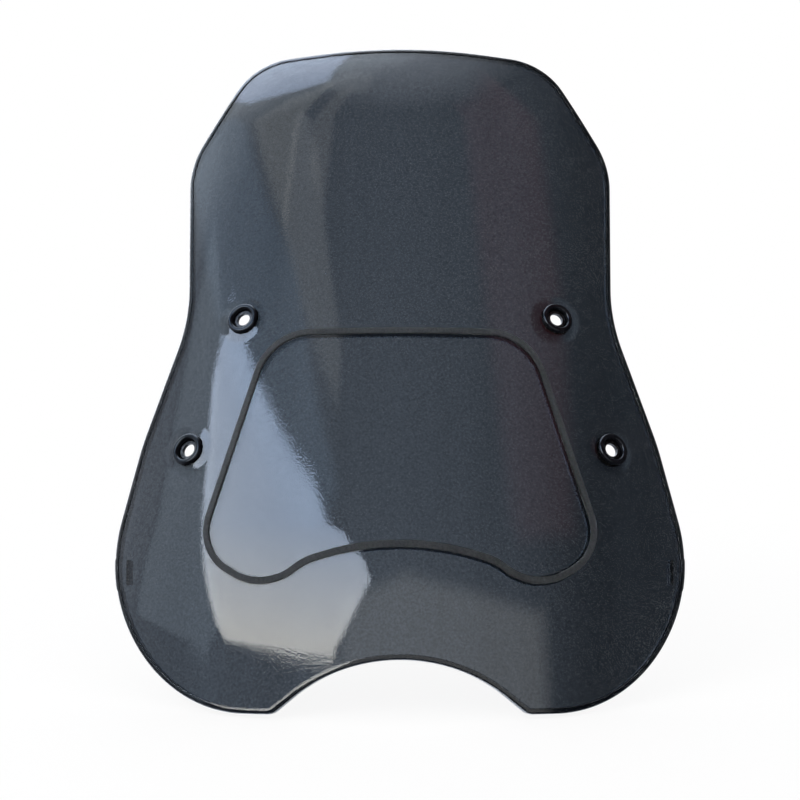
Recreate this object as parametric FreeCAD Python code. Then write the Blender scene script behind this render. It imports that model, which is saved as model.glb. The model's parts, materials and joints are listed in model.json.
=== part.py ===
import FreeCAD, Part
import math
import os
from FreeCAD import Placement, Rotation, Vector

# Windshield screen for a motorcycle: a smoke-tinted polycarbonate panel, moulded in one piece with a
# bead along its rim and an inner frame bead, both raised on the front and the back, and four rubber
# grommets that each hold a flanged steel sleeve.
#
# Frame: +Z up, +X to the side, the outer (front) face towards -Y, the rider behind it at +Y.
# Origin: the middle of the bounding box in X and Y, level with the bottom of the two lower lobes.
# All sizes are in millimetres and all angles in degrees.

# Driving dimensions of the panel
WALL = 3.5                 # thickness of the moulding
SIDE_RADIUS = 311.0        # radius of the wrap-around, seen from above
LOWER_LEAN = 10.0          # lean back from vertical, below the inner frame
MIDDLE_LEAN = 25.0         # lean through the inner frame and above it
TOP_LEAN = 36.0            # lean at the rolled-back top edge
LOWER_BEND = (39.0, 112.0)   # heights between which the lean grows from lower to middle
TOP_BEND = (395.0, 460.0)    # heights between which the lean grows from middle to top
DEPTH_MIDDLE = 110.32      # depth of the box's middle behind the foot of the centre line

# Corners of the right half of each closed outline, seen from the front, from the top centre down to
# the bottom centre: sideways distance, height and corner radius. Straight lines join the corners.
PANEL_CORNERS = (
    (0.0, 457.0, 700.0),     # crown of the top edge
    (112.0, 448.0, 50.0),    # top corner
    (159.0, 364.0, 63.0),    # shoulder
    (148.0, 243.0, 115.0),   # waist
    (175.0, 156.0, 150.0),   # flank
    (208.0, -6.0, 88.0),     # lower lobe
    (76.0, 1.1, 8.0),        # tip beside the notch
    (0.0, 64.0, 100.0),      # bottom notch
)
FRAME_CORNERS = (
    (0.0, 233.5, 1500.0),    # top bar of the frame
    (87.0, 232.0, 38.0),     # top corner
    (127.0, 93.0, 26.0),     # outside of the lower corner
    (83.0, 71.0, 37.0),      # foot of the lower corner
    (58.0, 90.0, 40.0),      # start of the arched bottom bar
    (0.0, 107.5, 160.0),     # arched bottom bar
)
RIM_FRONT = (2.4, 1.2)     # width and height of the bead along the panel's edge, on the front face
RIM_BACK = (4.0, 2.4)      # and on the back face
RIB_FRONT = (4.0, 1.2)     # width and height of the inner frame's bead, on the front face
RIB_BACK = (5.4, 2.8)      # and on the back face
BACK_NARROWING = 0.99      # the back bead lies behind the front one square to the leaning, curved
BACK_DROP = 1.4            # sheet, which makes its outline a little narrower and lower
PAD_RADIUS = 14.0          # flat moulded pad around each mounting hole, proud of both faces
PAD_PROUD = 0.4            # how far the pad's middle stands in front of the curved face
PAD_WALL = 4.4

# Mounting holes: sideways distance and height of the upper and the lower pair
HOLES = {"upper": (107.0, 242.5), "lower": (139.5, 154.5)}
SIDES = {"left": -1.0, "right": 1.0}
HOLE_RADIUS = 8.0

# Rubber grommet, turned about the hole's axis; heights are above the pad's front face. A round recess
# in each end leaves a web in the middle that the sleeve is seated on.
GROMMET_RADIUS = 11.0
GROMMET_CREST = 2.6        # top of the front ring
GROMMET_SEAT = -1.45       # floor of the front recess, which holds the sleeve's flange
GROMMET_SEAT_RADIUS = 7.0
GROMMET_REAR = 1.4         # thickness of the rear flange
GROMMET_WEB = 1.5          # thickness of the web between the two recesses
GROMMET_BACK_RADIUS = 6.9  # rear recess, which the bracket's boss enters
FRONT_ROUNDING = 0.9
REAR_ROUNDING = 0.6

# Short steel sleeve for an M8 screw, free to turn in the grommet
SLEEVE_BORE = 4.5
SLEEVE_RADIUS = 5.3
SLEEVE_FLANGE_RADIUS = 6.4
SLEEVE_FLANGE = 0.8
SLEEVE_REAR_REACH = 0.2    # how far the sleeve's end stands behind the grommet's web
SLEEVE_ROUNDING = 0.25
TURNING_GAP = 0.05         # clearance between sleeve and grommet, all round

# Working sizes of the construction, clear of the finished shape
GRID_STEP = 20.0           # spacing of the points that the curved faces pass through
GRID_SIDE = 220.0
GRID_LOW = -20.0
GRID_HIGH = 480.0
BACK_STOP = 320.0


def bend(z, start, end, slope_change):
    """Depth added above a bend whose slope grows evenly by slope_change between two heights."""
    if z <= start:
        return 0.0
    if z <= end:
        return slope_change * (z - start) ** 2 / (2 * (end - start))
    return slope_change * (z - (start + end) / 2)


def slope(angle):
    return math.tan(math.radians(angle))


def front_depth(x, z):
    """Y of the panel's front face at a sideways distance and a height."""
    centre_line = z * slope(LOWER_LEAN)
    centre_line += bend(z, *LOWER_BEND, slope(MIDDLE_LEAN) - slope(LOWER_LEAN))
    centre_line += bend(z, *TOP_BEND, slope(TOP_LEAN) - slope(MIDDLE_LEAN))
    wrap = SIDE_RADIUS - math.sqrt(SIDE_RADIUS ** 2 - x ** 2)
    return centre_line + wrap - DEPTH_MIDDLE


def front_point(x, z):
    return Vector(x, front_depth(x, z), z)


def outward(x, z):
    """Unit normal of the front face, pointing away from the rider."""
    step = 0.01
    across = front_point(x + step, z) - front_point(x - step, z)
    upward = front_point(x, z + step) - front_point(x, z - step)
    return across.cross(upward).normalize()


def behind(lift):
    """Solid of everything behind the front face, with that face moved outward by lift."""
    columns = int(2 * GRID_SIDE / GRID_STEP) + 1
    rows = int((GRID_HIGH - GRID_LOW) / GRID_STEP) + 1
    grid = []
    for column in range(columns):
        x = -GRID_SIDE + GRID_STEP * column
        heights = [GRID_LOW + GRID_STEP * row for row in range(rows)]
        grid.append([front_point(x, z) + outward(x, z) * lift for z in heights])
    surface = Part.BSplineSurface()
    surface.interpolate(grid)
    return surface.toShape().extrude(Vector(0, BACK_STOP, 0))


def layer(outer_lift, inner_lift):
    """Curved slab between two levels above the front face."""
    return behind(outer_lift).cut(behind(inner_lift))


def rounded_outline(half_corners):
    """Closed wire in the XZ plane from the corners of its right half."""
    right = [(Vector(x, 0, z), radius) for x, z, radius in half_corners]
    left = [(Vector(-x, 0, z), radius) for x, z, radius in half_corners[-2:0:-1]]
    corners = right + left
    arcs = []
    for index, (corner, radius) in enumerate(corners):
        to_last = (corners[index - 1][0] - corner).normalize()
        to_next = (corners[(index + 1) % len(corners)][0] - corner).normalize()
        half_angle = to_last.getAngle(to_next) / 2
        reach = radius / math.tan(half_angle)
        centre = corner + (to_last + to_next).normalize() * (radius / math.sin(half_angle))
        middle = centre + (corner - centre).normalize() * radius
        arcs.append((corner + to_last * reach, middle, corner + to_next * reach))
    edges = []
    for index, (start, middle, end) in enumerate(arcs):
        edges.append(Part.Arc(start, middle, end).toShape())
        edges.append(Part.makeLine(end, arcs[(index + 1) % len(arcs)][0]))
    return Part.Wire(edges)


def prism(wire):
    """Solid of a wire's inside, running from in front of the panel to behind it."""
    face = Part.Face(wire)
    face.translate(Vector(0, -BACK_STOP, 0))
    return face.extrude(Vector(0, 2 * BACK_STOP, 0))


def placed(shape, x, z):
    """Moves a shape made around the Z axis onto a hole's axis, its zero on the pad's front face."""
    axis = outward(x, z)
    moved = shape.copy()
    moved.Placement = Placement(front_point(x, z) + axis * PAD_PROUD, Rotation(Vector(0, 0, 1), axis))
    return moved


def at_holes(shape):
    """One copy of a shape at each mounting hole."""
    return [placed(shape, sign * across, z) for across, z in HOLES.values() for sign in SIDES.values()]


def cylinder(radius, low, high):
    return Part.makeCylinder(radius, high - low, Vector(0, 0, low))


def rounded_rims(shape, radius, rounding):
    """Rounds the circular edges of a turned shape that lie at a given radius."""
    edges = [
        edge for edge in shape.Edges
        if edge.Curve.TypeId == "Part::GeomCircle" and abs(edge.Curve.Radius - radius) < 1e-6
    ]
    return shape.makeFillet(rounding, edges)


def make_screen_panel():
    outline = rounded_outline(PANEL_CORNERS)
    frame_line = rounded_outline(FRAME_CORNERS)
    back_corners = [(x * BACK_NARROWING, z - BACK_DROP, radius) for x, z, radius in FRAME_CORNERS]
    back_line = rounded_outline(back_corners)
    whole = prism(outline)
    core = -WALL / 2

    def rim(width, level):
        ring = whole.cut(prism(outline.makeOffset2D(-width)))
        return ring.common(layer(max(level, core), min(level, core)))

    def rib(line, width, level):
        ring = prism(line.makeOffset2D(width / 2))
        ring = ring.cut(prism(line.makeOffset2D(-width / 2)))
        return ring.common(layer(max(level, core), min(level, core)))

    panel = whole.common(layer(0, -WALL))
    panel = panel.fuse([
        rim(RIM_FRONT[0], RIM_FRONT[1]),
        rim(RIM_BACK[0], -WALL - RIM_BACK[1]),
        rib(frame_line, RIB_FRONT[0], RIB_FRONT[1]),
        rib(back_line, RIB_BACK[0], -WALL - RIB_BACK[1]),
    ])
    panel = panel.fuse(at_holes(cylinder(PAD_RADIUS, -PAD_WALL, 0)))
    return panel.cut(at_holes(cylinder(HOLE_RADIUS, -2 * PAD_WALL, PAD_WALL)))


def make_grommet():
    rear = -PAD_WALL - GROMMET_REAR
    front_flange = rounded_rims(
        cylinder(GROMMET_RADIUS, 0, GROMMET_CREST), GROMMET_RADIUS, FRONT_ROUNDING)
    rear_flange = rounded_rims(
        cylinder(GROMMET_RADIUS, rear, -PAD_WALL), GROMMET_RADIUS, REAR_ROUNDING)
    body = front_flange.fuse([rear_flange, cylinder(HOLE_RADIUS, -PAD_WALL, 0)])
    body = body.cut(cylinder(GROMMET_SEAT_RADIUS, GROMMET_SEAT, GROMMET_CREST))
    body = body.cut(cylinder(GROMMET_BACK_RADIUS, rear, GROMMET_SEAT - GROMMET_WEB))
    return body.cut(cylinder(SLEEVE_RADIUS + TURNING_GAP, rear, GROMMET_CREST))


def make_sleeve():
    flange_low = GROMMET_SEAT + TURNING_GAP
    flange_top = flange_low + SLEEVE_FLANGE
    rear = GROMMET_SEAT - GROMMET_WEB - SLEEVE_REAR_REACH
    flange = rounded_rims(
        cylinder(SLEEVE_FLANGE_RADIUS, flange_low, flange_top), SLEEVE_FLANGE_RADIUS, SLEEVE_ROUNDING)
    body = flange.fuse(cylinder(SLEEVE_RADIUS, rear, flange_low))
    return body.cut(cylinder(SLEEVE_BORE, rear, flange_top))


def save(name, shape):
    shape = shape.removeSplitter()
    shape.exportStep(os.path.join("parts", name + ".step"))


def main():
    os.makedirs("parts", exist_ok=True)
    save("screen_panel", make_screen_panel())
    for row, (across, z) in HOLES.items():
        for side, sign in SIDES.items():
            save(f"grommet_{row}_{side}", placed(make_grommet(), sign * across, z))
            save(f"sleeve_{row}_{side}", placed(make_sleeve(), sign * across, z))


main()
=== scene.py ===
import json
import math

import bmesh
import bpy
import numpy as np
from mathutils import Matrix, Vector, geometry


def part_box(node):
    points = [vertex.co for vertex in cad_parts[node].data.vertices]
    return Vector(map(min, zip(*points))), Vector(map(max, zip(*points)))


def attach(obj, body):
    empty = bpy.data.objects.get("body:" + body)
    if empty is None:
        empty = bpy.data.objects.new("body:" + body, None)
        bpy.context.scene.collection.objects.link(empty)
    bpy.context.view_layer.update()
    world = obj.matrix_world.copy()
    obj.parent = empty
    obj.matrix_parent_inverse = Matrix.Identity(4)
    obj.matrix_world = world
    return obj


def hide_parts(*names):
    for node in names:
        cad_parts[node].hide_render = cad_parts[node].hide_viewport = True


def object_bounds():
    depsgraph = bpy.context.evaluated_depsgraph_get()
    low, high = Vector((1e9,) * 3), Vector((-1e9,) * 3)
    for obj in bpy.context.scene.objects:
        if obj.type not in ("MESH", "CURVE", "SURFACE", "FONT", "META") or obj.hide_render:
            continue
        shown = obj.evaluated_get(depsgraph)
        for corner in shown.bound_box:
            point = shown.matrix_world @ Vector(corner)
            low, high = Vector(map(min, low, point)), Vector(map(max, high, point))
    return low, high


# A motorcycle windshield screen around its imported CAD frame: a smoke-tinted moulding with a bead along
# its rim and an inner frame bead, held by four rubber grommets with flanged metal sleeves.
# Shapes are worked out in design millimetres, with +Z up and the front face towards -Y, and the height
# of the frame's panel says how long a design millimetre is.

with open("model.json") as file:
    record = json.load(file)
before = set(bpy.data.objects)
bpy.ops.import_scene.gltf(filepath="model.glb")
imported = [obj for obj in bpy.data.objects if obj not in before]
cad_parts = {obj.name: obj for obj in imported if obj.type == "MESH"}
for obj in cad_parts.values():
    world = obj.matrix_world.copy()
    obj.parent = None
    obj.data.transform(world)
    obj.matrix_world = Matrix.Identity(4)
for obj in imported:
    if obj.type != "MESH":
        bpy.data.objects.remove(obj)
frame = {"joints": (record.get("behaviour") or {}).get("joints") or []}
cad_low, cad_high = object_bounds()

panel_low, panel_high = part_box("screen_panel")
DESIGN_HEIGHT = 454.75
MM = (panel_high.z - panel_low.z) / DESIGN_HEIGHT

# The moulded panel, as the frame's panel is built
WALL = 3.5
SIDE_RADIUS = 311.0
LOWER_LEAN = 10.0
MIDDLE_LEAN = 25.0
TOP_LEAN = 36.0
LOWER_BEND = (39.0, 112.0)
TOP_BEND = (395.0, 460.0)
FOOT_DEPTH = -110.32
PANEL_CORNERS = (
    (0.0, 457.0, 700.0),
    (112.0, 448.0, 50.0),
    (159.0, 364.0, 63.0),
    (148.0, 243.0, 115.0),
    (175.0, 156.0, 150.0),
    (208.0, -6.0, 88.0),
    (76.0, 1.1, 8.0),
    (0.0, 64.0, 100.0),
)
FRAME_CORNERS = (
    (0.0, 233.5, 1500.0),
    (87.0, 232.0, 38.0),
    (127.0, 93.0, 26.0),
    (83.0, 71.0, 37.0),
    (58.0, 90.0, 40.0),
    (0.0, 107.5, 160.0),
)

# Beads, each as height, distance to the end of its flat top and distance to its foot.
# The rim's distances are from the panel's edge, the frame's from its centre line.
RIM_FRONT = (0.6, 3.1, 3.4)
RIM_BACK = (2.4, 2.6, 3.0)
RIB_FRONT = (1.2, 1.7, 2.2)
RIB_BACK = (2.8, 2.5, 2.9)
FOOT_MARGIN = 0.3          # flat band kept beyond a bead's foot
FRONT_ROUNDING = 1.7       # edge of the rim on the front face
BACK_ROUNDING = 0.6        # and on the back face
EDGE_SATIN = 0.6           # share of the satin finish on the panel's edge

# Moulding marks: dents in the frame's bead (right half), and at each hip a short tab behind the panel,
# which shows through it as a dark bar, and a flat land on the edge
DENTS = ((120.5, 108.2), (119.8, 98.6), (88.0, 78.2), (50.3, 91.2))
DENT_RADIUS = 0.8
DENT_SHARE = 0.45          # of the bead's height, lost at a dent's middle
TAB_CORNERS = ((176.8, 84.0, 1.0), (179.6, 83.2, 1.0), (178.2, 67.4, 1.0), (175.4, 68.2, 1.0))
TAB_HEIGHT = 3.0
HIP_START = 150.0          # sideways distance beyond which the outline is a hip
LAND_HEIGHTS = (64.0, 82.5)
LAND_PROUD = 0.5

# Pads round the mounting holes
HOLE_RADIUS = 8.0
HOLE_ROUNDING = 0.35
PAD_PROUD = 0.4
PAD_WALL = 4.4
PAD_BLEND = (9.5, 18.5)    # radii between which the pad flows into the panel

# Grommets: a front ring, a neck in the hole and a rear flange, with a web that grips the sleeve.
# These heights and the sleeves' are above the pad's front face.
GROMMET_RADIUS = 11.0
GROMMET_FRONT = 2.6
GROMMET_REAR = -PAD_WALL - 1.4
NECK_RADIUS = 7.95
FRONT_OPENING = 7.3
FRONT_FLOOR = 7.0          # the front opening's radius where it meets the web
REAR_OPENING = 6.9
WEB_RADIUS = 5.35
WEB_FRONT = -1.45
WEB_REAR = -2.95

# Sleeves: a tube in the web with a flange in front of it
BORE_RADIUS = 4.5
TUBE_RADIUS = 5.3
FLANGE_RADIUS = 6.4
FLANGE_REAR = WEB_FRONT + 0.05
SLEEVE_TOP = -0.6
SLEEVE_REAR = -3.15

# The camera, from the screen's foremost and lowest points
CAMERA_DISTANCE = 644.7
CAMERA_HEIGHT = 187.3

# How finely the meshes are cut
EDGE_STEP = 1.6
ARC_STEP = math.radians(7)
FILL_STEP = 6.0
SLIVER = 0.001             # filling triangles thinner than this lie in a straight edge, and are dropped
SLOPE_STEP = 0.01          # either side of a spot where a bead's slope is measured
FLANK_RINGS = 7            # up a bead's sloping side
BLEND_RINGS = 9            # from a pad into the panel
ROUNDING_ANGLES = np.radians(np.arange(0, 91, 15))
HOLE_SEGMENTS = 72
TURNED_SEGMENTS = 96
FLOOR_SEGMENTS = 64


# ---------------------------------------------------------------- outlines and surfaces

def rounded_loop(corners, spacing):
    """Points and unit normals, to the right of travel, round a loop of lines and corner arcs."""
    spots = np.array([corner[:2] for corner in corners])
    radii = [corner[2] for corner in corners]
    arcs = []
    for index, spot in enumerate(spots):
        to_last = spots[index - 1] - spot
        to_next = spots[(index + 1) % len(spots)] - spot
        to_last /= np.linalg.norm(to_last)
        to_next /= np.linalg.norm(to_next)
        half_angle = math.acos(to_last @ to_next) / 2
        reach = radii[index] / math.tan(half_angle)
        turn = math.copysign(math.pi - 2 * half_angle, to_last[1] * to_next[0] - to_last[0] * to_next[1])
        arcs.append((spot + to_last * reach, spot + to_next * reach, -to_last, turn, radii[index]))
    points, normals = [], []
    for index, (start, end, heading, turn, radius) in enumerate(arcs):
        side = math.copysign(1.0, turn)
        right = np.array((heading[1], -heading[0]))
        centre = start - side * radius * right
        steps = max(1, math.ceil(radius * abs(turn) / spacing), math.ceil(abs(turn) / ARC_STEP))
        for step in range(steps + 1):
            angle = turn * step / steps
            normal = rotated(right, angle)
            points.append(centre + side * radius * normal)
            normals.append(normal)
        following = arcs[(index + 1) % len(arcs)][0]
        gap = following - end
        steps = math.ceil(np.linalg.norm(gap) / spacing)
        for step in range(1, steps):
            points.append(end + gap * step / steps)
            normals.append(normals[-1])
    return np.array(points), np.array(normals)


def rotated(vector, angle):
    cosine, sine = math.cos(angle), math.sin(angle)
    return np.array((vector[0] * cosine - vector[1] * sine, vector[0] * sine + vector[1] * cosine))


def mirrored(half_corners):
    """All corners of a symmetric outline, clockwise from the top centre."""
    return list(half_corners) + [(-x, z, radius) for x, z, radius in half_corners[-2:0:-1]]


def slope(angle):
    return math.tan(math.radians(angle))


def bend(z, start, end, slope_change):
    """Depth and slope added above a bend whose slope grows evenly between two heights."""
    share = np.clip((z - start) / (end - start), 0, 1)
    depth = slope_change * (share ** 2 * (end - start) / 2 + np.maximum(z - end, 0))
    return depth, slope_change * share


def face(flat):
    """Depth of the front face and its slopes sideways and upward, at points (x, z)."""
    x, z = flat[:, 0], flat[:, 1]
    lower, lower_slope = bend(z, *LOWER_BEND, slope(MIDDLE_LEAN) - slope(LOWER_LEAN))
    upper, upper_slope = bend(z, *TOP_BEND, slope(TOP_LEAN) - slope(MIDDLE_LEAN))
    reach = np.sqrt(SIDE_RADIUS ** 2 - x ** 2)
    depth = FOOT_DEPTH + z * slope(LOWER_LEAN) + lower + upper + SIDE_RADIUS - reach
    return depth, x / reach, slope(LOWER_LEAN) + lower_slope + upper_slope


def unit(rows):
    return rows / np.linalg.norm(rows, axis=1)[:, None]


def skin(flat, lift, lift_slope=None):
    """Points lifted off the front face, and the normals there, away from the rider.
    lift_slope is the lift's change per millimetre sideways and upward."""
    depth, sideways, upward = face(flat)
    stretch = np.sqrt(1 + sideways ** 2 + upward ** 2)
    if lift_slope is None:
        lift_slope = np.zeros_like(flat)
    normals = np.stack((
        sideways - stretch * lift_slope[:, 0],
        -np.ones(len(flat)),
        upward - stretch * lift_slope[:, 1]), axis=1)
    on_face = np.stack((flat[:, 0], depth, flat[:, 1]), axis=1)
    outward = unit(np.stack((sideways, -np.ones(len(flat)), upward), axis=1))
    return on_face + outward * np.reshape(lift, (-1, 1)), unit(normals)


# ---------------------------------------------------------------- mesh building

class Sheet:
    """Collects rings of vertices and the faces between them, in design millimetres.
    flats are the vertices' places in an outline, seen from the front, and satin is how far the finish
    at each goes from gloss to satin."""

    def __init__(self):
        self.points, self.normals, self.flats, self.satin, self.faces = [], [], [], [], []

    def ring(self, points, normals, flat=None, satin=0.0):
        first = len(self.points)
        self.points.extend(points)
        self.normals.extend(normals)
        self.flats.extend(points[:, [0, 2]] if flat is None else flat)
        self.satin.extend([satin] * len(points))
        return list(range(first, len(self.points)))

    def bridge(self, one, other):
        """Quads between two closed rings of the same length."""
        for index in range(len(one)):
            last = index - 1
            self.faces.append((one[last], one[index], other[index], other[last]))

    def chain(self, rings):
        for one, other in zip(rings, rings[1:]):
            self.bridge(one, other)

    def fill(self, boundary, holes, make):
        """Triangles over the area inside a boundary ring and outside the hole rings.
        make turns inner points (x, z) into points and normals."""
        loops = [boundary] + holes
        flats = [np.array([self.flats[index] for index in loop]) for loop in loops]
        inner = scattered(flats[0], flats[1:])
        known = [index for loop in loops for index in loop]
        known += self.ring(*make(inner), inner)
        edges, first = [], 0
        for loop in loops:
            count = len(loop)
            edges += [(first + index, first + (index + 1) % count) for index in range(count)]
            first += count
        spots = [Vector(spot) for spot in np.vstack(flats + [inner])]
        found = geometry.delaunay_2d_cdt(spots, edges, [], 0, 1e-6)
        triangles = np.array([known_face(triangle, found[3]) for triangle in found[2]])
        flat = np.vstack(flats + [inner])
        corners = flat[triangles]
        centres = corners.mean(axis=1)
        keep = inside(centres, flats[0]) & (thickness(corners) > SLIVER)
        for hole in flats[1:]:
            keep &= ~inside(centres, hole)
        for triangle in triangles[keep]:
            self.faces.append(tuple(known[index] for index in triangle))

    def build(self, name):
        """The finished mesh object, smooth-shaded with these exact normals."""
        mesh = bpy.data.meshes.new(name)
        mesh.from_pydata([Vector(point) * MM for point in self.points], [], self.faces)
        work = bmesh.new()
        work.from_mesh(mesh)
        bmesh.ops.recalc_face_normals(work, faces=work.faces)
        for polygon in work.faces:
            polygon.smooth = True
        work.to_mesh(mesh)
        work.free()
        mesh.normals_split_custom_set_from_vertices([Vector(normal) for normal in self.normals])
        mesh.attributes.new("satin", "FLOAT", "POINT").data.foreach_set("value", self.satin)
        piece = bpy.data.objects.new(name, mesh)
        bpy.context.scene.collection.objects.link(piece)
        return piece


def known_face(triangle, origins):
    return [origins[index][0] for index in triangle]


def thickness(triangles):
    """Least height of each flat triangle, which is nothing where its corners are in line."""
    sides = np.roll(triangles, -1, axis=1) - triangles
    doubled_area = np.abs(sides[:, 0, 0] * sides[:, 1, 1] - sides[:, 0, 1] * sides[:, 1, 0])
    return doubled_area / np.linalg.norm(sides, axis=2).max(axis=1)


def inside(spots, loop):
    """Which points lie inside a closed outline, by counting crossings."""
    ends = np.roll(loop, -1, axis=0)
    crossings = np.zeros(len(spots), int)
    for (x0, z0), (x1, z1) in zip(loop, ends):
        between = (z0 > spots[:, 1]) != (z1 > spots[:, 1])
        if between.any():
            level = x0 + (spots[:, 1] - z0) * (x1 - x0) / (z1 - z0)
            crossings += between & (spots[:, 0] < level)
    return crossings % 2 == 1


def clearance(spots, loop):
    """Distance from each point to the nearest point of an outline."""
    gaps = [np.linalg.norm(spots - spot, axis=1) for spot in loop]
    return np.min(gaps, axis=0)


def scattered(boundary, holes):
    """Staggered grid points inside a boundary, outside the holes and clear of both."""
    low, high = boundary.min(axis=0), boundary.max(axis=0)
    rows = []
    for row, z in enumerate(np.arange(low[1], high[1], FILL_STEP * math.sqrt(3) / 2)):
        across = np.arange(low[0] + (row % 2) * FILL_STEP / 2, high[0], FILL_STEP)
        rows.append(np.stack((across, np.full(len(across), z)), axis=1))
    spots = np.vstack(rows)
    spots = spots[inside(spots, boundary)]
    for loop in [boundary] + holes:
        spots = spots[clearance(spots, loop) > FILL_STEP * 0.6]
    for hole in holes:
        spots = spots[~inside(spots, hole)]
    return spots


def full_turn(count):
    """Evenly spaced angles round a circle."""
    return [2 * math.pi * step / count for step in range(count)]


def spokes_round(axis, count):
    """Evenly spaced unit vectors square to an axis."""
    side = axis.orthogonal().normalized()
    other = axis.cross(side)
    return np.array([side * math.cos(turn) + other * math.sin(turn) for turn in full_turn(count)])


def turned(name, corners, spot, axis):
    """A ring-shaped piece turned about an axis from its section's corners (radius, height, rounding)."""
    section, outward = rounded_loop(corners, spacing=100.0)
    spokes = spokes_round(axis, TURNED_SEGMENTS)
    sheet = Sheet()
    rings = []
    for (radius, height), (away, along) in zip(section, outward):
        points = np.array(spot) + spokes * radius + np.array(axis) * height
        rings.append(sheet.ring(points, spokes * away + np.array(axis) * along))
    sheet.chain(rings + rings[:1])
    return sheet.build(name)


# ---------------------------------------------------------------- the moulded panel

def bead_lift(bead, distance):
    """Height of a bead at a distance from its edge or centre line."""
    height, top, foot = bead
    share = np.clip((abs(distance) - top) / (foot - top), 0, 1)
    return float(height * (1 + np.cos(math.pi * share)) / 2)


def dented(flat):
    """Share of the bead's height left by the dents, and how fast it changes sideways and upward."""
    share = np.ones(len(flat))
    rate = np.zeros_like(flat)
    for side in (-1, 1):
        for x, z in DENTS:
            offset = flat - (side * x, z)
            dent = DENT_SHARE * np.exp(-(offset ** 2).sum(axis=1) / (2 * DENT_RADIUS ** 2))
            share -= dent
            rate += offset * dent[:, None] / DENT_RADIUS ** 2
    return share, rate


def bead_ring(sheet, line, inward, distance, bead, facing, satin=0.0):
    """Ring at a distance in from an outline, on a bead of the front (1) or back (-1) face."""
    flat = line + inward * distance
    height = bead_lift(bead, distance)
    rise = bead_lift(bead, distance + SLOPE_STEP) - bead_lift(bead, distance - SLOPE_STEP)
    rate = rise / (2 * SLOPE_STEP)
    share, share_rate = dented(flat)
    lift = height * share
    lift_slope = inward * (rate * share)[:, None] + height * share_rate
    if facing < 0:
        lift = -WALL - lift
        lift_slope = -lift_slope
    points, normals = skin(flat, lift, lift_slope)
    return sheet.ring(points, normals * facing, flat, satin)


def spaced(start, end, count):
    return [start + (end - start) * step / (count - 1) for step in range(count)]


def wall_normals(inward):
    """Normals of an upright wall along an outline, facing out of it."""
    return np.stack((-inward[:, 0], np.zeros(len(inward)), -inward[:, 1]), axis=1)


def rim_rings(sheet, line, inward):
    """Rings round the panel's moulded edge, from the front bead's foot over the edge to the back's."""
    wall = wall_normals(inward)
    height, top, foot = RIM_FRONT
    rings = [bead_ring(sheet, line, inward, foot + FOOT_MARGIN, RIM_FRONT, 1)]
    for distance in spaced(foot, top, FLANK_RINGS):
        rings.append(bead_ring(sheet, line, inward, distance, RIM_FRONT, 1))
    for angle in ROUNDING_ANGLES:
        flat = line + inward * FRONT_ROUNDING * (1 - math.sin(angle))
        points, normals = skin(flat, height - FRONT_ROUNDING * (1 - math.cos(angle)))
        normals = unit(normals * math.cos(angle) + wall * math.sin(angle))
        rings.append(sheet.ring(points, normals, satin=EDGE_SATIN * math.sin(angle) ** 8))
    height, top, foot = RIM_BACK
    for angle in ROUNDING_ANGLES[::-1]:
        flat = line + inward * BACK_ROUNDING * (1 - math.sin(angle))
        points, normals = skin(flat, -WALL - height + BACK_ROUNDING * (1 - math.cos(angle)))
        normals = unit(-normals * math.cos(angle) + wall * math.sin(angle))
        rings.append(sheet.ring(points, normals, satin=EDGE_SATIN * math.sin(angle) ** 8))
    for distance in spaced(top, foot, FLANK_RINGS):
        rings.append(bead_ring(sheet, line, inward, distance, RIM_BACK, -1))
    rings.append(bead_ring(sheet, line, inward, foot + FOOT_MARGIN, RIM_BACK, -1))
    return rings


def rib_rings(sheet, line, inward, bead, facing, satin):
    """Rings across one face of the inner frame's bead, from outside the frame to inside it."""
    height, top, foot = bead
    offsets = [foot + FOOT_MARGIN] + spaced(foot, top, FLANK_RINGS) + [top / 2]
    shares = [0.0] + spaced(0.0, satin, FLANK_RINGS) + [satin]
    half = list(zip(offsets, shares))
    crossing = [(-offset, share) for offset, share in half] + [(0.0, satin)] + half[::-1]
    return [bead_ring(sheet, line, inward, offset, bead, facing, share) for offset, share in crossing]


def tab_rings(sheet, side):
    """Rings up the walls of one hip's tab behind the panel, from its foot to its top."""
    corners = [(side * x, z, radius) for x, z, radius in TAB_CORNERS]
    line, inward = rounded_loop(corners[::int(side)], 1.0)
    wall = wall_normals(inward)
    # Each ring's inset, its height behind the panel, and how far its normals are the wall's
    steps = (
        (0.0, 0.0, 0.0),
        (0.1, 0.2, 1.0),
        (0.2, TAB_HEIGHT - 0.3, 1.0),
        (0.5, TAB_HEIGHT, 0.0),
    )
    rings = []
    for inset, height, share in steps:
        flat = line + inward * inset
        points, normals = skin(flat, -WALL - height)
        rings.append(sheet.ring(points, unit(wall * share - normals * (1.1 - share)), flat))
    return rings


def pad_frame(hole):
    """Spot on a mounting pad's front face and its outward axis."""
    points, normals = skin(np.array([hole]), PAD_PROUD)
    return Vector(points[0]), Vector(normals[0])


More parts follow.
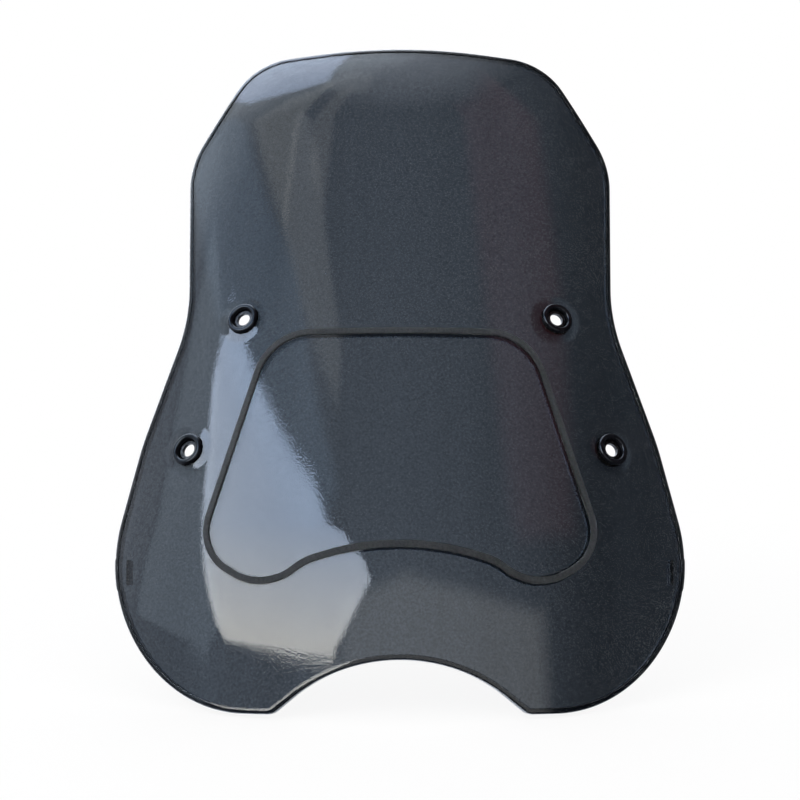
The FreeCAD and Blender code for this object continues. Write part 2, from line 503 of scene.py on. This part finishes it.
def pad_rings(sheet, hole):
    """Rings of one mounting pad: out over the front face, and through the hole and over the back."""
    spot, axis = pad_frame(hole)
    spokes = spokes_round(axis, HOLE_SEGMENTS)
    centre, up = np.array(spot), np.array(axis)

    def flat_ring(radius, height, tilt):
        """tilt is the normal's angle from the outward axis towards the spokes."""
        points = centre + spokes * radius + up * height
        return sheet.ring(points, spokes * math.sin(tilt) + up * math.cos(tilt))

    def blended(radius, height, lift):
        """Points where the pad, at a height from its front face, sinks into a face of the panel."""
        points = centre + spokes * radius + up * height
        share = np.clip((PAD_BLEND[1] - radius) / (PAD_BLEND[1] - PAD_BLEND[0]), 0, 1)
        share = share * share * (3 - 2 * share)
        return skin(points[:, [0, 2]], (PAD_PROUD + height) * share + lift * (1 - share))[0]

    def blend_ring(radius, height, lift, facing):
        """facing is 1 on the front face and -1 on the back."""
        step = 0.02
        outward = blended(radius + step, height, lift) - blended(radius - step, height, lift)
        points = blended(radius, height, lift)
        along = np.roll(points, -1, axis=0) - np.roll(points, 1, axis=0)
        normals = unit(np.cross(outward, along))
        return sheet.ring(points, normals * facing, points[:, [0, 2]])

    rounding = HOLE_ROUNDING
    blend_radii = spaced(*PAD_BLEND, BLEND_RINGS)
    front = [
        flat_ring(HOLE_RADIUS, -rounding, math.radians(-90)),
        flat_ring(HOLE_RADIUS + rounding * 0.3, -rounding * 0.3, math.radians(-45)),
        flat_ring(HOLE_RADIUS + rounding, 0, 0),
        flat_ring(HOLE_RADIUS + 2 * rounding, 0, 0),
    ]
    front += [blend_ring(radius, 0, 0, 1) for radius in blend_radii]
    back = [
        flat_ring(HOLE_RADIUS, -PAD_WALL + rounding, math.radians(-90)),
        flat_ring(HOLE_RADIUS + rounding * 0.3, -PAD_WALL + rounding * 0.3, math.radians(-135)),
        flat_ring(HOLE_RADIUS + rounding, -PAD_WALL, math.radians(180)),
        flat_ring(HOLE_RADIUS + 2 * rounding, -PAD_WALL, math.radians(180)),
    ]
    back += [blend_ring(radius, -PAD_WALL, -WALL, -1) for radius in blend_radii]
    sheet.chain(front)
    sheet.chain(back)
    sheet.bridge(front[0], back[0])
    return front[-1], back[-1]


def with_lands(line, inward):
    """The outline with a flat land standing out at each hip's gate."""
    low, high = LAND_HEIGHTS
    hip = (np.abs(line[:, 0]) > HIP_START) & (line[:, 1] > low) & (line[:, 1] < high)
    return line - inward * (LAND_PROUD * hip)[:, None]


def make_panel(holes):
    """The tinted moulding: rim, inner frame, hip tabs and pads, with both faces filled in between."""
    sheet = Sheet()
    line, inward = rounded_loop(mirrored(PANEL_CORNERS), EDGE_STEP)
    rim = rim_rings(sheet, with_lands(line, inward), inward)
    sheet.chain(rim)

    line, inward = rounded_loop(mirrored(FRAME_CORNERS), EDGE_STEP / 2)
    front_rib = rib_rings(sheet, line, inward, RIB_FRONT, 1, satin=1.0)
    sheet.chain(front_rib)
    line, inward = rounded_loop(mirrored(FRAME_CORNERS), EDGE_STEP)
    back_rib = rib_rings(sheet, line, inward, RIB_BACK, -1, satin=0.0)
    sheet.chain(back_rib)

    tabs = [tab_rings(sheet, side) for side in (-1, 1)]
    for rings in tabs:
        sheet.chain(rings)

    pads = [pad_rings(sheet, hole) for hole in holes]
    front_pads = [front for front, back in pads]
    back_pads = [back for front, back in pads]

    def front_face(flat):
        return skin(flat, 0)

    def back_face(flat):
        points, normals = skin(flat, -WALL)
        return points, -normals

    def tab_top(flat):
        points, normals = skin(flat, -WALL - TAB_HEIGHT)
        return points, -normals

    sheet.fill(rim[0], [front_rib[0]] + front_pads, front_face)
    sheet.fill(front_rib[-1], [], front_face)
    for rings in tabs:
        sheet.fill(rings[-1], [], tab_top)
    sheet.fill(rim[-1], [back_rib[0]] + back_pads + [rings[0] for rings in tabs], back_face)
    sheet.fill(back_rib[-1], [], back_face)
    return sheet.build("moulded_panel")


# ---------------------------------------------------------------- grommets and sleeves

# Corners of the turned sections, each as radius, height and rounding
GROMMET_SECTION = (
    (WEB_RADIUS, WEB_REAR, 0.15),
    (REAR_OPENING, WEB_REAR, 0.15),
    (REAR_OPENING, GROMMET_REAR, 0.3),
    (GROMMET_RADIUS, GROMMET_REAR, 0.6),
    (GROMMET_RADIUS, -PAD_WALL, 0.5),
    (NECK_RADIUS, -PAD_WALL, 0.1),
    (NECK_RADIUS, 0.0, 0.1),
    (GROMMET_RADIUS, 0.0, 0.5),
    (GROMMET_RADIUS, GROMMET_FRONT, 1.7),
    (FRONT_OPENING, GROMMET_FRONT, 1.5),
    (FRONT_FLOOR, WEB_FRONT, 0.3),
    (WEB_RADIUS, WEB_FRONT, 0.1),
)
SLEEVE_SECTION = (
    (BORE_RADIUS, SLEEVE_REAR, 0.2),
    (TUBE_RADIUS, SLEEVE_REAR, 0.15),
    (TUBE_RADIUS, FLANGE_REAR, 0.08),
    (FLANGE_RADIUS, FLANGE_REAR, 0.15),
    (FLANGE_RADIUS, SLEEVE_TOP, 0.3),
    (BORE_RADIUS, SLEEVE_TOP, 0.35),
)


# ---------------------------------------------------------------- materials

class Graph:
    """Short ways to add and link shader nodes."""

    def __init__(self, tree):
        self.nodes, self.links = tree.nodes, tree.links

    def feed(self, socket, value):
        if isinstance(value, bpy.types.NodeSocket):
            self.links.new(value, socket)
        else:
            socket.default_value = value

    def maths(self, operation, *values):
        node = self.nodes.new("ShaderNodeMath")
        node.operation = operation
        for socket, value in zip(node.inputs, values):
            self.feed(socket, value)
        return node.outputs["Value"]

    def vectors(self, operation, first, second, result="Vector"):
        node = self.nodes.new("ShaderNodeVectorMath")
        node.operation = operation
        self.feed(node.inputs[0], first)
        self.feed(node.inputs["Scale" if operation == "SCALE" else 1], second)
        return node.outputs[result]

    def joined(self, *values):
        node = self.nodes.new("ShaderNodeCombineXYZ")
        for socket, value in zip(node.inputs, values):
            self.feed(socket, value)
        return node.outputs["Vector"]

    def spread(self, value, low, high, to_low=0.0, to_high=1.0, kind="LINEAR"):
        """Maps value from one range to another, held at the ends."""
        node = self.nodes.new("ShaderNodeMapRange")
        node.interpolation_type = kind
        for name, number in (("From Min", low), ("From Max", high), ("To Min", to_low), ("To Max", to_high)):
            node.inputs[name].default_value = number
        self.links.new(value, node.inputs["Value"])
        return node.outputs["Result"]

    def place(self, stretch=(1, 1, 1)):
        """The object's own coordinates, in metres."""
        return self.vectors("MULTIPLY", self.nodes.new("ShaderNodeTexCoord").outputs["Object"], stretch)

    def noise(self, where, scale, detail, distortion=0.0):
        texture = self.nodes.new("ShaderNodeTexNoise")
        texture.inputs["Scale"].default_value = scale
        texture.inputs["Detail"].default_value = detail
        texture.inputs["Distortion"].default_value = distortion
        self.links.new(where, texture.inputs["Vector"])
        return texture.outputs["Fac"]

    def mixed(self, share, first, second):
        """Colour between two others."""
        node = self.nodes.new("ShaderNodeMixRGB")
        self.feed(node.inputs["Fac"], share)
        self.feed(node.inputs["Color1"], first)
        self.feed(node.inputs["Color2"], second)
        return node.outputs["Color"]

    def bumped(self, height, strength, distance):
        bump = self.nodes.new("ShaderNodeBump")
        bump.inputs["Strength"].default_value = strength
        bump.inputs["Distance"].default_value = distance
        self.links.new(height, bump.inputs["Height"])
        return bump.outputs["Normal"]


def new_material(name):
    material = bpy.data.materials.new(name)
    material.use_nodes = True
    graph = Graph(material.node_tree)
    return material, graph, graph.nodes["Principled BSDF"].inputs


def smoke_polycarbonate():
    """Plastic whose depth absorbs most of the light, a little more of the red. It is glossy, with fine
    specks in its colour and a thin film of dust, and satin where the mesh says so."""
    material, graph, shader = new_material("smoke_polycarbonate")
    shader["Transmission Weight"].default_value = 1.0
    shader["IOR"].default_value = 1.585
    place = graph.place()
    haze = graph.noise(place, 9.0, 3.0)
    specks = graph.noise(place, 900.0, 3.0)
    speckle = graph.spread(graph.noise(place, 750.0, 4.0), 0.36, 0.64)
    graph.feed(shader["Base Color"], graph.mixed(speckle, (0.62, 0.63, 0.64, 1), (0.99, 0.99, 0.995, 1)))
    satin = graph.nodes.new("ShaderNodeAttribute")
    satin.attribute_name = "satin"
    glossy = graph.spread(haze, 0.35, 0.7, 0.010, 0.035)
    graph.feed(shader["Roughness"], graph.maths("MULTIPLY_ADD", satin.outputs["Fac"], 0.85, glossy))
    dust = graph.maths("MULTIPLY", graph.spread(specks, 0.50, 0.75), graph.spread(haze, 0.3, 0.7, 0.25, 0.9))
    texture = graph.maths("POWER", satin.outputs["Fac"], 4.0)
    graph.feed(shader["Sheen Weight"], graph.maths("MULTIPLY_ADD", texture, 0.3, dust))
    shader["Sheen Roughness"].default_value = 0.5
    shader["Sheen Tint"].default_value = (0.90, 0.95, 1.0, 1)
    grain = graph.noise(place, 700.0, 2.0)
    graph.feed(shader["Normal"], graph.bumped(grain, 0.02, 0.001))
    tint = graph.nodes.new("ShaderNodeVolumeAbsorption")
    tint.inputs["Color"].default_value = (0.064, 0.133, 0.212, 1)
    tint.inputs["Density"].default_value = 810.0
    graph.links.new(tint.outputs["Volume"], graph.nodes["Material Output"].inputs["Volume"])
    return material


def black_rubber():
    """Satin moulded rubber with a fine skin and a trace of dust."""
    material, graph, shader = new_material("black_rubber")
    place = graph.place()
    patches = graph.noise(place, 260.0, 4.0)
    dusty = graph.spread(patches, 0.4, 0.7)
    graph.feed(shader["Base Color"], graph.mixed(dusty, (0.002, 0.002, 0.003, 1), (0.006, 0.006, 0.008, 1)))
    shader["Specular Tint"].default_value = (0.80, 0.90, 1.0, 1)
    shader["Specular IOR Level"].default_value = 0.35
    graph.feed(shader["Roughness"], graph.spread(patches, 0.3, 0.7, 0.09, 0.17))
    grain = graph.noise(place, 2400.0, 3.0)
    graph.feed(shader["Normal"], graph.bumped(grain, 0.12, 0.0002))
    return material


def blackened_steel():
    """Turned steel with a black finish, a little worn."""
    material, graph, shader = new_material("blackened_steel")
    shader["Metallic"].default_value = 1.0
    patches = graph.noise(graph.place(), 700.0, 4.0)
    worn = graph.spread(patches, 0.45, 0.75)
    graph.feed(shader["Base Color"], graph.mixed(worn, (0.035, 0.036, 0.038, 1), (0.12, 0.12, 0.125, 1)))
    graph.feed(shader["Roughness"], graph.spread(patches, 0.3, 0.7, 0.28, 0.45))
    return material


def finish(piece, material, body, node):
    """Gives a piece its material, and hands it to a body in place of a CAD node."""
    piece.data.materials.append(material)
    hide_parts(node)
    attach(piece, body)


# ---------------------------------------------------------------- studio

def make_floor():
    """Pale floor that fades into the white surroundings."""
    work = bmesh.new()
    rings = []
    for radius in (0.0, 0.3, 0.6, 1.0, 1.5, 2.2, 3.0, 6.0):
        spots = [(radius * math.cos(turn), radius * math.sin(turn), 0) for turn in full_turn(FLOOR_SEGMENTS)]
        rings.append([work.verts.new(spot) for spot in spots])
    for one, other in zip(rings, rings[1:]):
        for index in range(len(one)):
            work.faces.new((one[index - 1], one[index], other[index], other[index - 1]))
    bmesh.ops.remove_doubles(work, verts=work.verts, dist=1e-6)
    mesh = bpy.data.meshes.new("floor")
    work.to_mesh(mesh)
    work.free()
    floor = bpy.data.objects.new("floor", mesh)
    bpy.context.scene.collection.objects.link(floor)
    floor.location.z = cad_low.z - 0.002
    floor.visible_glossy = False
    floor.visible_transmission = False
    material, graph, shader = new_material("pale_floor")
    shader["Roughness"].default_value = 0.9
    place = graph.place()
    grain = graph.noise(place, 30.0, 2.0)
    graph.feed(shader["Base Color"], graph.mixed(grain, (0.85, 0.85, 0.85, 1), (0.88, 0.88, 0.88, 1)))
    glow = graph.nodes.new("ShaderNodeEmission")
    glow.inputs["Color"].default_value = (1, 1, 1, 1)
    length = graph.vectors("LENGTH", place, (0, 0, 0), result="Value")
    mix = graph.nodes.new("ShaderNodeMixShader")
    graph.feed(mix.inputs["Fac"], graph.spread(length, 0.3, 1.2, 0.86, 1.0))
    graph.links.new(graph.nodes["Principled BSDF"].outputs["BSDF"], mix.inputs[1])
    graph.links.new(glow.outputs["Emission"], mix.inputs[2])
    graph.links.new(mix.outputs["Shader"], graph.nodes["Material Output"].inputs["Surface"])
    floor.data.materials.append(material)


# The studio as glossy surfaces see it. Directions are in degrees: azimuth left (-) and right (+) of
# straight behind the camera, and elevation. Panes are convex, listed clockwise, with the softness of
# their edges and the light they add.
SKY_PANE = (
    (-51, 9), (-68, 38), (-66, 43), (-30, 43), (-19, 40), (-11, 33), (-9, 28), (-18, 6.5), (-48, 5.5),
)
SKY_LOW = (6.7, 6.6, 6.2)
SKY_HIGH = (3.3, 4.2, 5.8)
PANES = (
    (((-110, 48), (-100, 84), (-72, 79), (-57, 72), (-80, 56)), 0.8, (1.6, 2.0, 2.9)),
    (((-77, 5), (-78, 30), (-77, 43), (-68, 41), (-50, 10), (-54, 3)), 1.0, (0.45, 0.55, 0.65)),
    (((-88, 42), (-78, 50), (-45, 51), (-24, 44), (-30, 41)), 2.0, (0.25, 0.38, 0.55)),
    (((-69, 53), (-63, 63), (-52, 71.5), (-51, 53)), 1.2, (0.62, 0.63, 0.60)),
    (((-52, 53), (-52, 60), (-40, 58), (-24, 51), (-24, 49)), 1.2, (0.50, 0.51, 0.50)),
    (((-43, 58), (-43, 70), (-36, 72), (-36, 58)), 1.5, (0.35, 0.34, 0.32)),
    (((-56, 71), (-48, 76), (-26, 77), (-26, 73), (-45, 71)), 2.0, (0.35, 0.36, 0.36)),
    (((38, 62), (64, 66), (60, 46), (53, 36), (42, 38)), 8.0, (0.20, 0.06, 0.07)),
    (((-14, -20), (-12, 20), (2, 26), (20, 20), (36, 12), (36, -20)), 7.0, (0.80, 0.80, 0.78)),
)
ZENITH_LIGHT = 1.15
OVERHEAD = (-0.35, 0.50, 0.79)       # direction of a wide pale light above and behind the screen
OVERHEAD_LIGHT = (1.7, 1.9, 2.1)
# Light of the walls by azimuth
WALLS = (
    (-180, 2.0), (-130, 1.9), (-90, 0.85), (-76, 0.30), (-55, 0.10), (-20, 0.03), (5, 0.02), (45, 0.02),
    (100, 0.05), (135, 0.4), (180, 1.6),
)
WALL_TINT = (0.90, 0.98, 1.12)
# What shows through the screen dims to this share towards the right, between these directions' X
DIMMED_SHARE = 0.32
DIMMING_SPAN = (0.03, 0.18)


def pane_share(graph, sight, corners, soft):
    """1 inside a convex pane, falling to 0 over soft degrees beyond its edges."""
    depth = None
    for index, (across, up) in enumerate(corners):
        from_across, from_up = corners[index - 1]
        length = math.hypot(across - from_across, up - from_up)
        inward = ((up - from_up) / length, (from_across - across) / length)
        edge = (*inward, -inward[0] * across - inward[1] * up)
        gap = graph.vectors("DOT_PRODUCT", sight, edge, result="Value")
        depth = gap if depth is None else graph.maths("MINIMUM", depth, gap)
    return graph.spread(depth, -soft, 0, kind="SMOOTHSTEP")


def wall_light(graph, azimuth, elevation):
    """Dim walls that change with azimuth in soft upright stripes, under a lighter ceiling."""
    ramp = graph.nodes.new("ShaderNodeValToRGB")
    first, last = WALLS[0][0], WALLS[-1][0]
    ramp.color_ramp.elements.remove(ramp.color_ramp.elements[1])
    for index, (across, light) in enumerate(WALLS):
        place = (across - first) / (last - first)
        if index:
            stop = ramp.color_ramp.elements.new(place)
        else:
            stop = ramp.color_ramp.elements[0]
        stop.color = (light, light, light, 1)
    graph.feed(ramp.inputs["Fac"], graph.spread(azimuth, first, last))
    stripes = graph.noise(graph.joined(azimuth, 0.0, 0.0), 0.1, 2.0)
    stripes = graph.spread(stripes, 0.3, 0.7, 0.6, 1.4)
    light = graph.vectors("SCALE", ramp.outputs["Color"], stripes)
    top = graph.spread(elevation, 66, 84, 0.0, ZENITH_LIGHT)
    light = graph.vectors("ADD", light, graph.joined(top, top, top))
    return graph.vectors("MULTIPLY", light, WALL_TINT)


def studio_light(graph, towards, azimuth, elevation):
    """The dim walls with the bright panes and the overhead light, as glossy surfaces see them."""
    sight = graph.joined(azimuth, elevation, 1.0)
    light = wall_light(graph, azimuth, elevation)
    sky_share = pane_share(graph, sight, SKY_PANE, 0.6)
    sky = graph.mixed(graph.spread(elevation, 7, 43), (*SKY_LOW, 1), (*SKY_HIGH, 1))
    light = graph.vectors("ADD", light, graph.vectors("SCALE", sky, sky_share))
    for corners, soft, colour in PANES:
        share = pane_share(graph, sight, corners, soft)
        light = graph.vectors("ADD", light, graph.vectors("SCALE", colour, share))
    overhead = graph.vectors("DOT_PRODUCT", towards, OVERHEAD, result="Value")
    overhead_share = graph.spread(overhead, 0.70, 0.85)
    return graph.vectors("ADD", light, graph.vectors("SCALE", OVERHEAD_LIGHT, overhead_share))


def dimming(graph, across):
    """Share of the white that shows through the screen: less towards the right, in soft bands."""
    bands = graph.noise(graph.joined(across, 0.0, 0.0), 14.0, 3.0)
    share = graph.spread(across, *DIMMING_SPAN, 1.0, DIMMED_SHARE)
    return graph.maths("MULTIPLY", share, graph.spread(bands, 0.3, 0.7, 0.78, 1.22))


def make_surroundings():
    """White to the camera and to matt surfaces, a dim studio with bright panes to glossy ones, and
    white that dims towards the right to light passing through the screen."""
    world = bpy.data.worlds.new("studio")
    bpy.context.scene.world = world
    world.use_nodes = True
    world.cycles.sampling_method = "NONE"    # keeps the matt surfaces' white out of rough reflections
    graph = Graph(world.node_tree)
    towards = graph.nodes.new("ShaderNodeTexCoord").outputs["Generated"]
    split = graph.nodes.new("ShaderNodeSeparateXYZ")
    graph.feed(split.inputs["Vector"], towards)
    across = split.outputs["X"]
    backward = graph.maths("MULTIPLY", split.outputs["Y"], -1.0)
    azimuth = graph.maths("DEGREES", graph.maths("ARCTAN2", across, backward))
    elevation = graph.maths("DEGREES", graph.maths("ARCSINE", split.outputs["Z"]))

    rays = graph.nodes.new("ShaderNodeLightPath")
    through = rays.outputs["Is Transmission Ray"]
    straight = graph.maths("SUBTRACT", 1.0, through)
    studio = graph.nodes["Background"]
    graph.feed(studio.inputs["Color"], studio_light(graph, towards, azimuth, elevation))
    white = graph.nodes.new("ShaderNodeBackground")
    seen_through = graph.maths("MULTIPLY", dimming(graph, across), through)
    graph.feed(white.inputs["Color"], (1, 1, 1, 1))
    graph.feed(white.inputs["Strength"], graph.maths("ADD", seen_through, straight))
    mix = graph.nodes.new("ShaderNodeMixShader")
    graph.feed(mix.inputs["Fac"], graph.maths("MULTIPLY", rays.outputs["Is Glossy Ray"], straight))
    graph.feed(mix.inputs[1], white.outputs["Background"])
    graph.feed(mix.inputs[2], studio.outputs["Background"])
    graph.links.new(mix.outputs["Shader"], graph.nodes["World Output"].inputs["Surface"])


def make_lamp(name, spot, size, power):
    """Soft lamp aimed at the middle of the screen, unseen in reflections."""
    light = bpy.data.lights.new(name, "AREA")
    light.shape = "DISK"
    light.size = size
    light.energy = power
    lamp = bpy.data.objects.new(name, light)
    bpy.context.scene.collection.objects.link(lamp)
    lamp.location = spot
    lamp.visible_glossy = False
    middle = (cad_low + cad_high) / 2
    lamp.rotation_euler = (middle - lamp.location).to_track_quat("-Z", "Y").to_euler()


def make_camera():
    """Level camera in front of the screen, at the height of its lower half."""
    image_width, focal_pixels = 800, 1098
    data = bpy.data.cameras.new("camera")
    data.sensor_width = 36.0
    data.lens = data.sensor_width * focal_pixels / image_width
    camera = bpy.data.objects.new("camera", data)
    bpy.context.scene.collection.objects.link(camera)
    camera.location = (0, cad_low.y - CAMERA_DISTANCE * MM, cad_low.z + CAMERA_HEIGHT * MM)
    camera.rotation_euler = (math.radians(90), 0, 0)
    bpy.context.scene.camera = camera


# ---------------------------------------------------------------- assembly

def make_object():
    """Sleeves and grommets on the frame's joints, which are at the sleeves' middles, and the panel."""
    rubber = black_rubber()
    steel = blackened_steel()
    sleeve_middle = (SLEEVE_TOP + SLEEVE_REAR) / 2
    holes = []
    for joint in frame["joints"]:
        axis = Vector(joint["axis"])
        pad_front = Vector(joint["pos_m"]) / MM - axis * sleeve_middle
        on_face = pad_front - axis * PAD_PROUD
        holes.append((on_face.x, on_face.z))
        place = joint["child"].removeprefix("sleeve_")
        grommet = turned(f"rubber_grommet_{place}", GROMMET_SECTION, pad_front, axis)
        finish(grommet, rubber, "screen", f"grommet_{place}")
        sleeve = turned(f"flanged_sleeve_{place}", SLEEVE_SECTION, pad_front, axis)
        finish(sleeve, steel, joint["child"], f"sleeve_{place}")
    panel = make_panel(holes)
    finish(panel, smoke_polycarbonate(), "screen", "screen_panel")


make_object()
make_floor()
make_surroundings()
make_lamp("key_light", spot=(-1.2, -1.4, 1.6), size=1.2, power=14)
make_camera()
bpy.context.scene.view_settings.view_transform = "Standard"
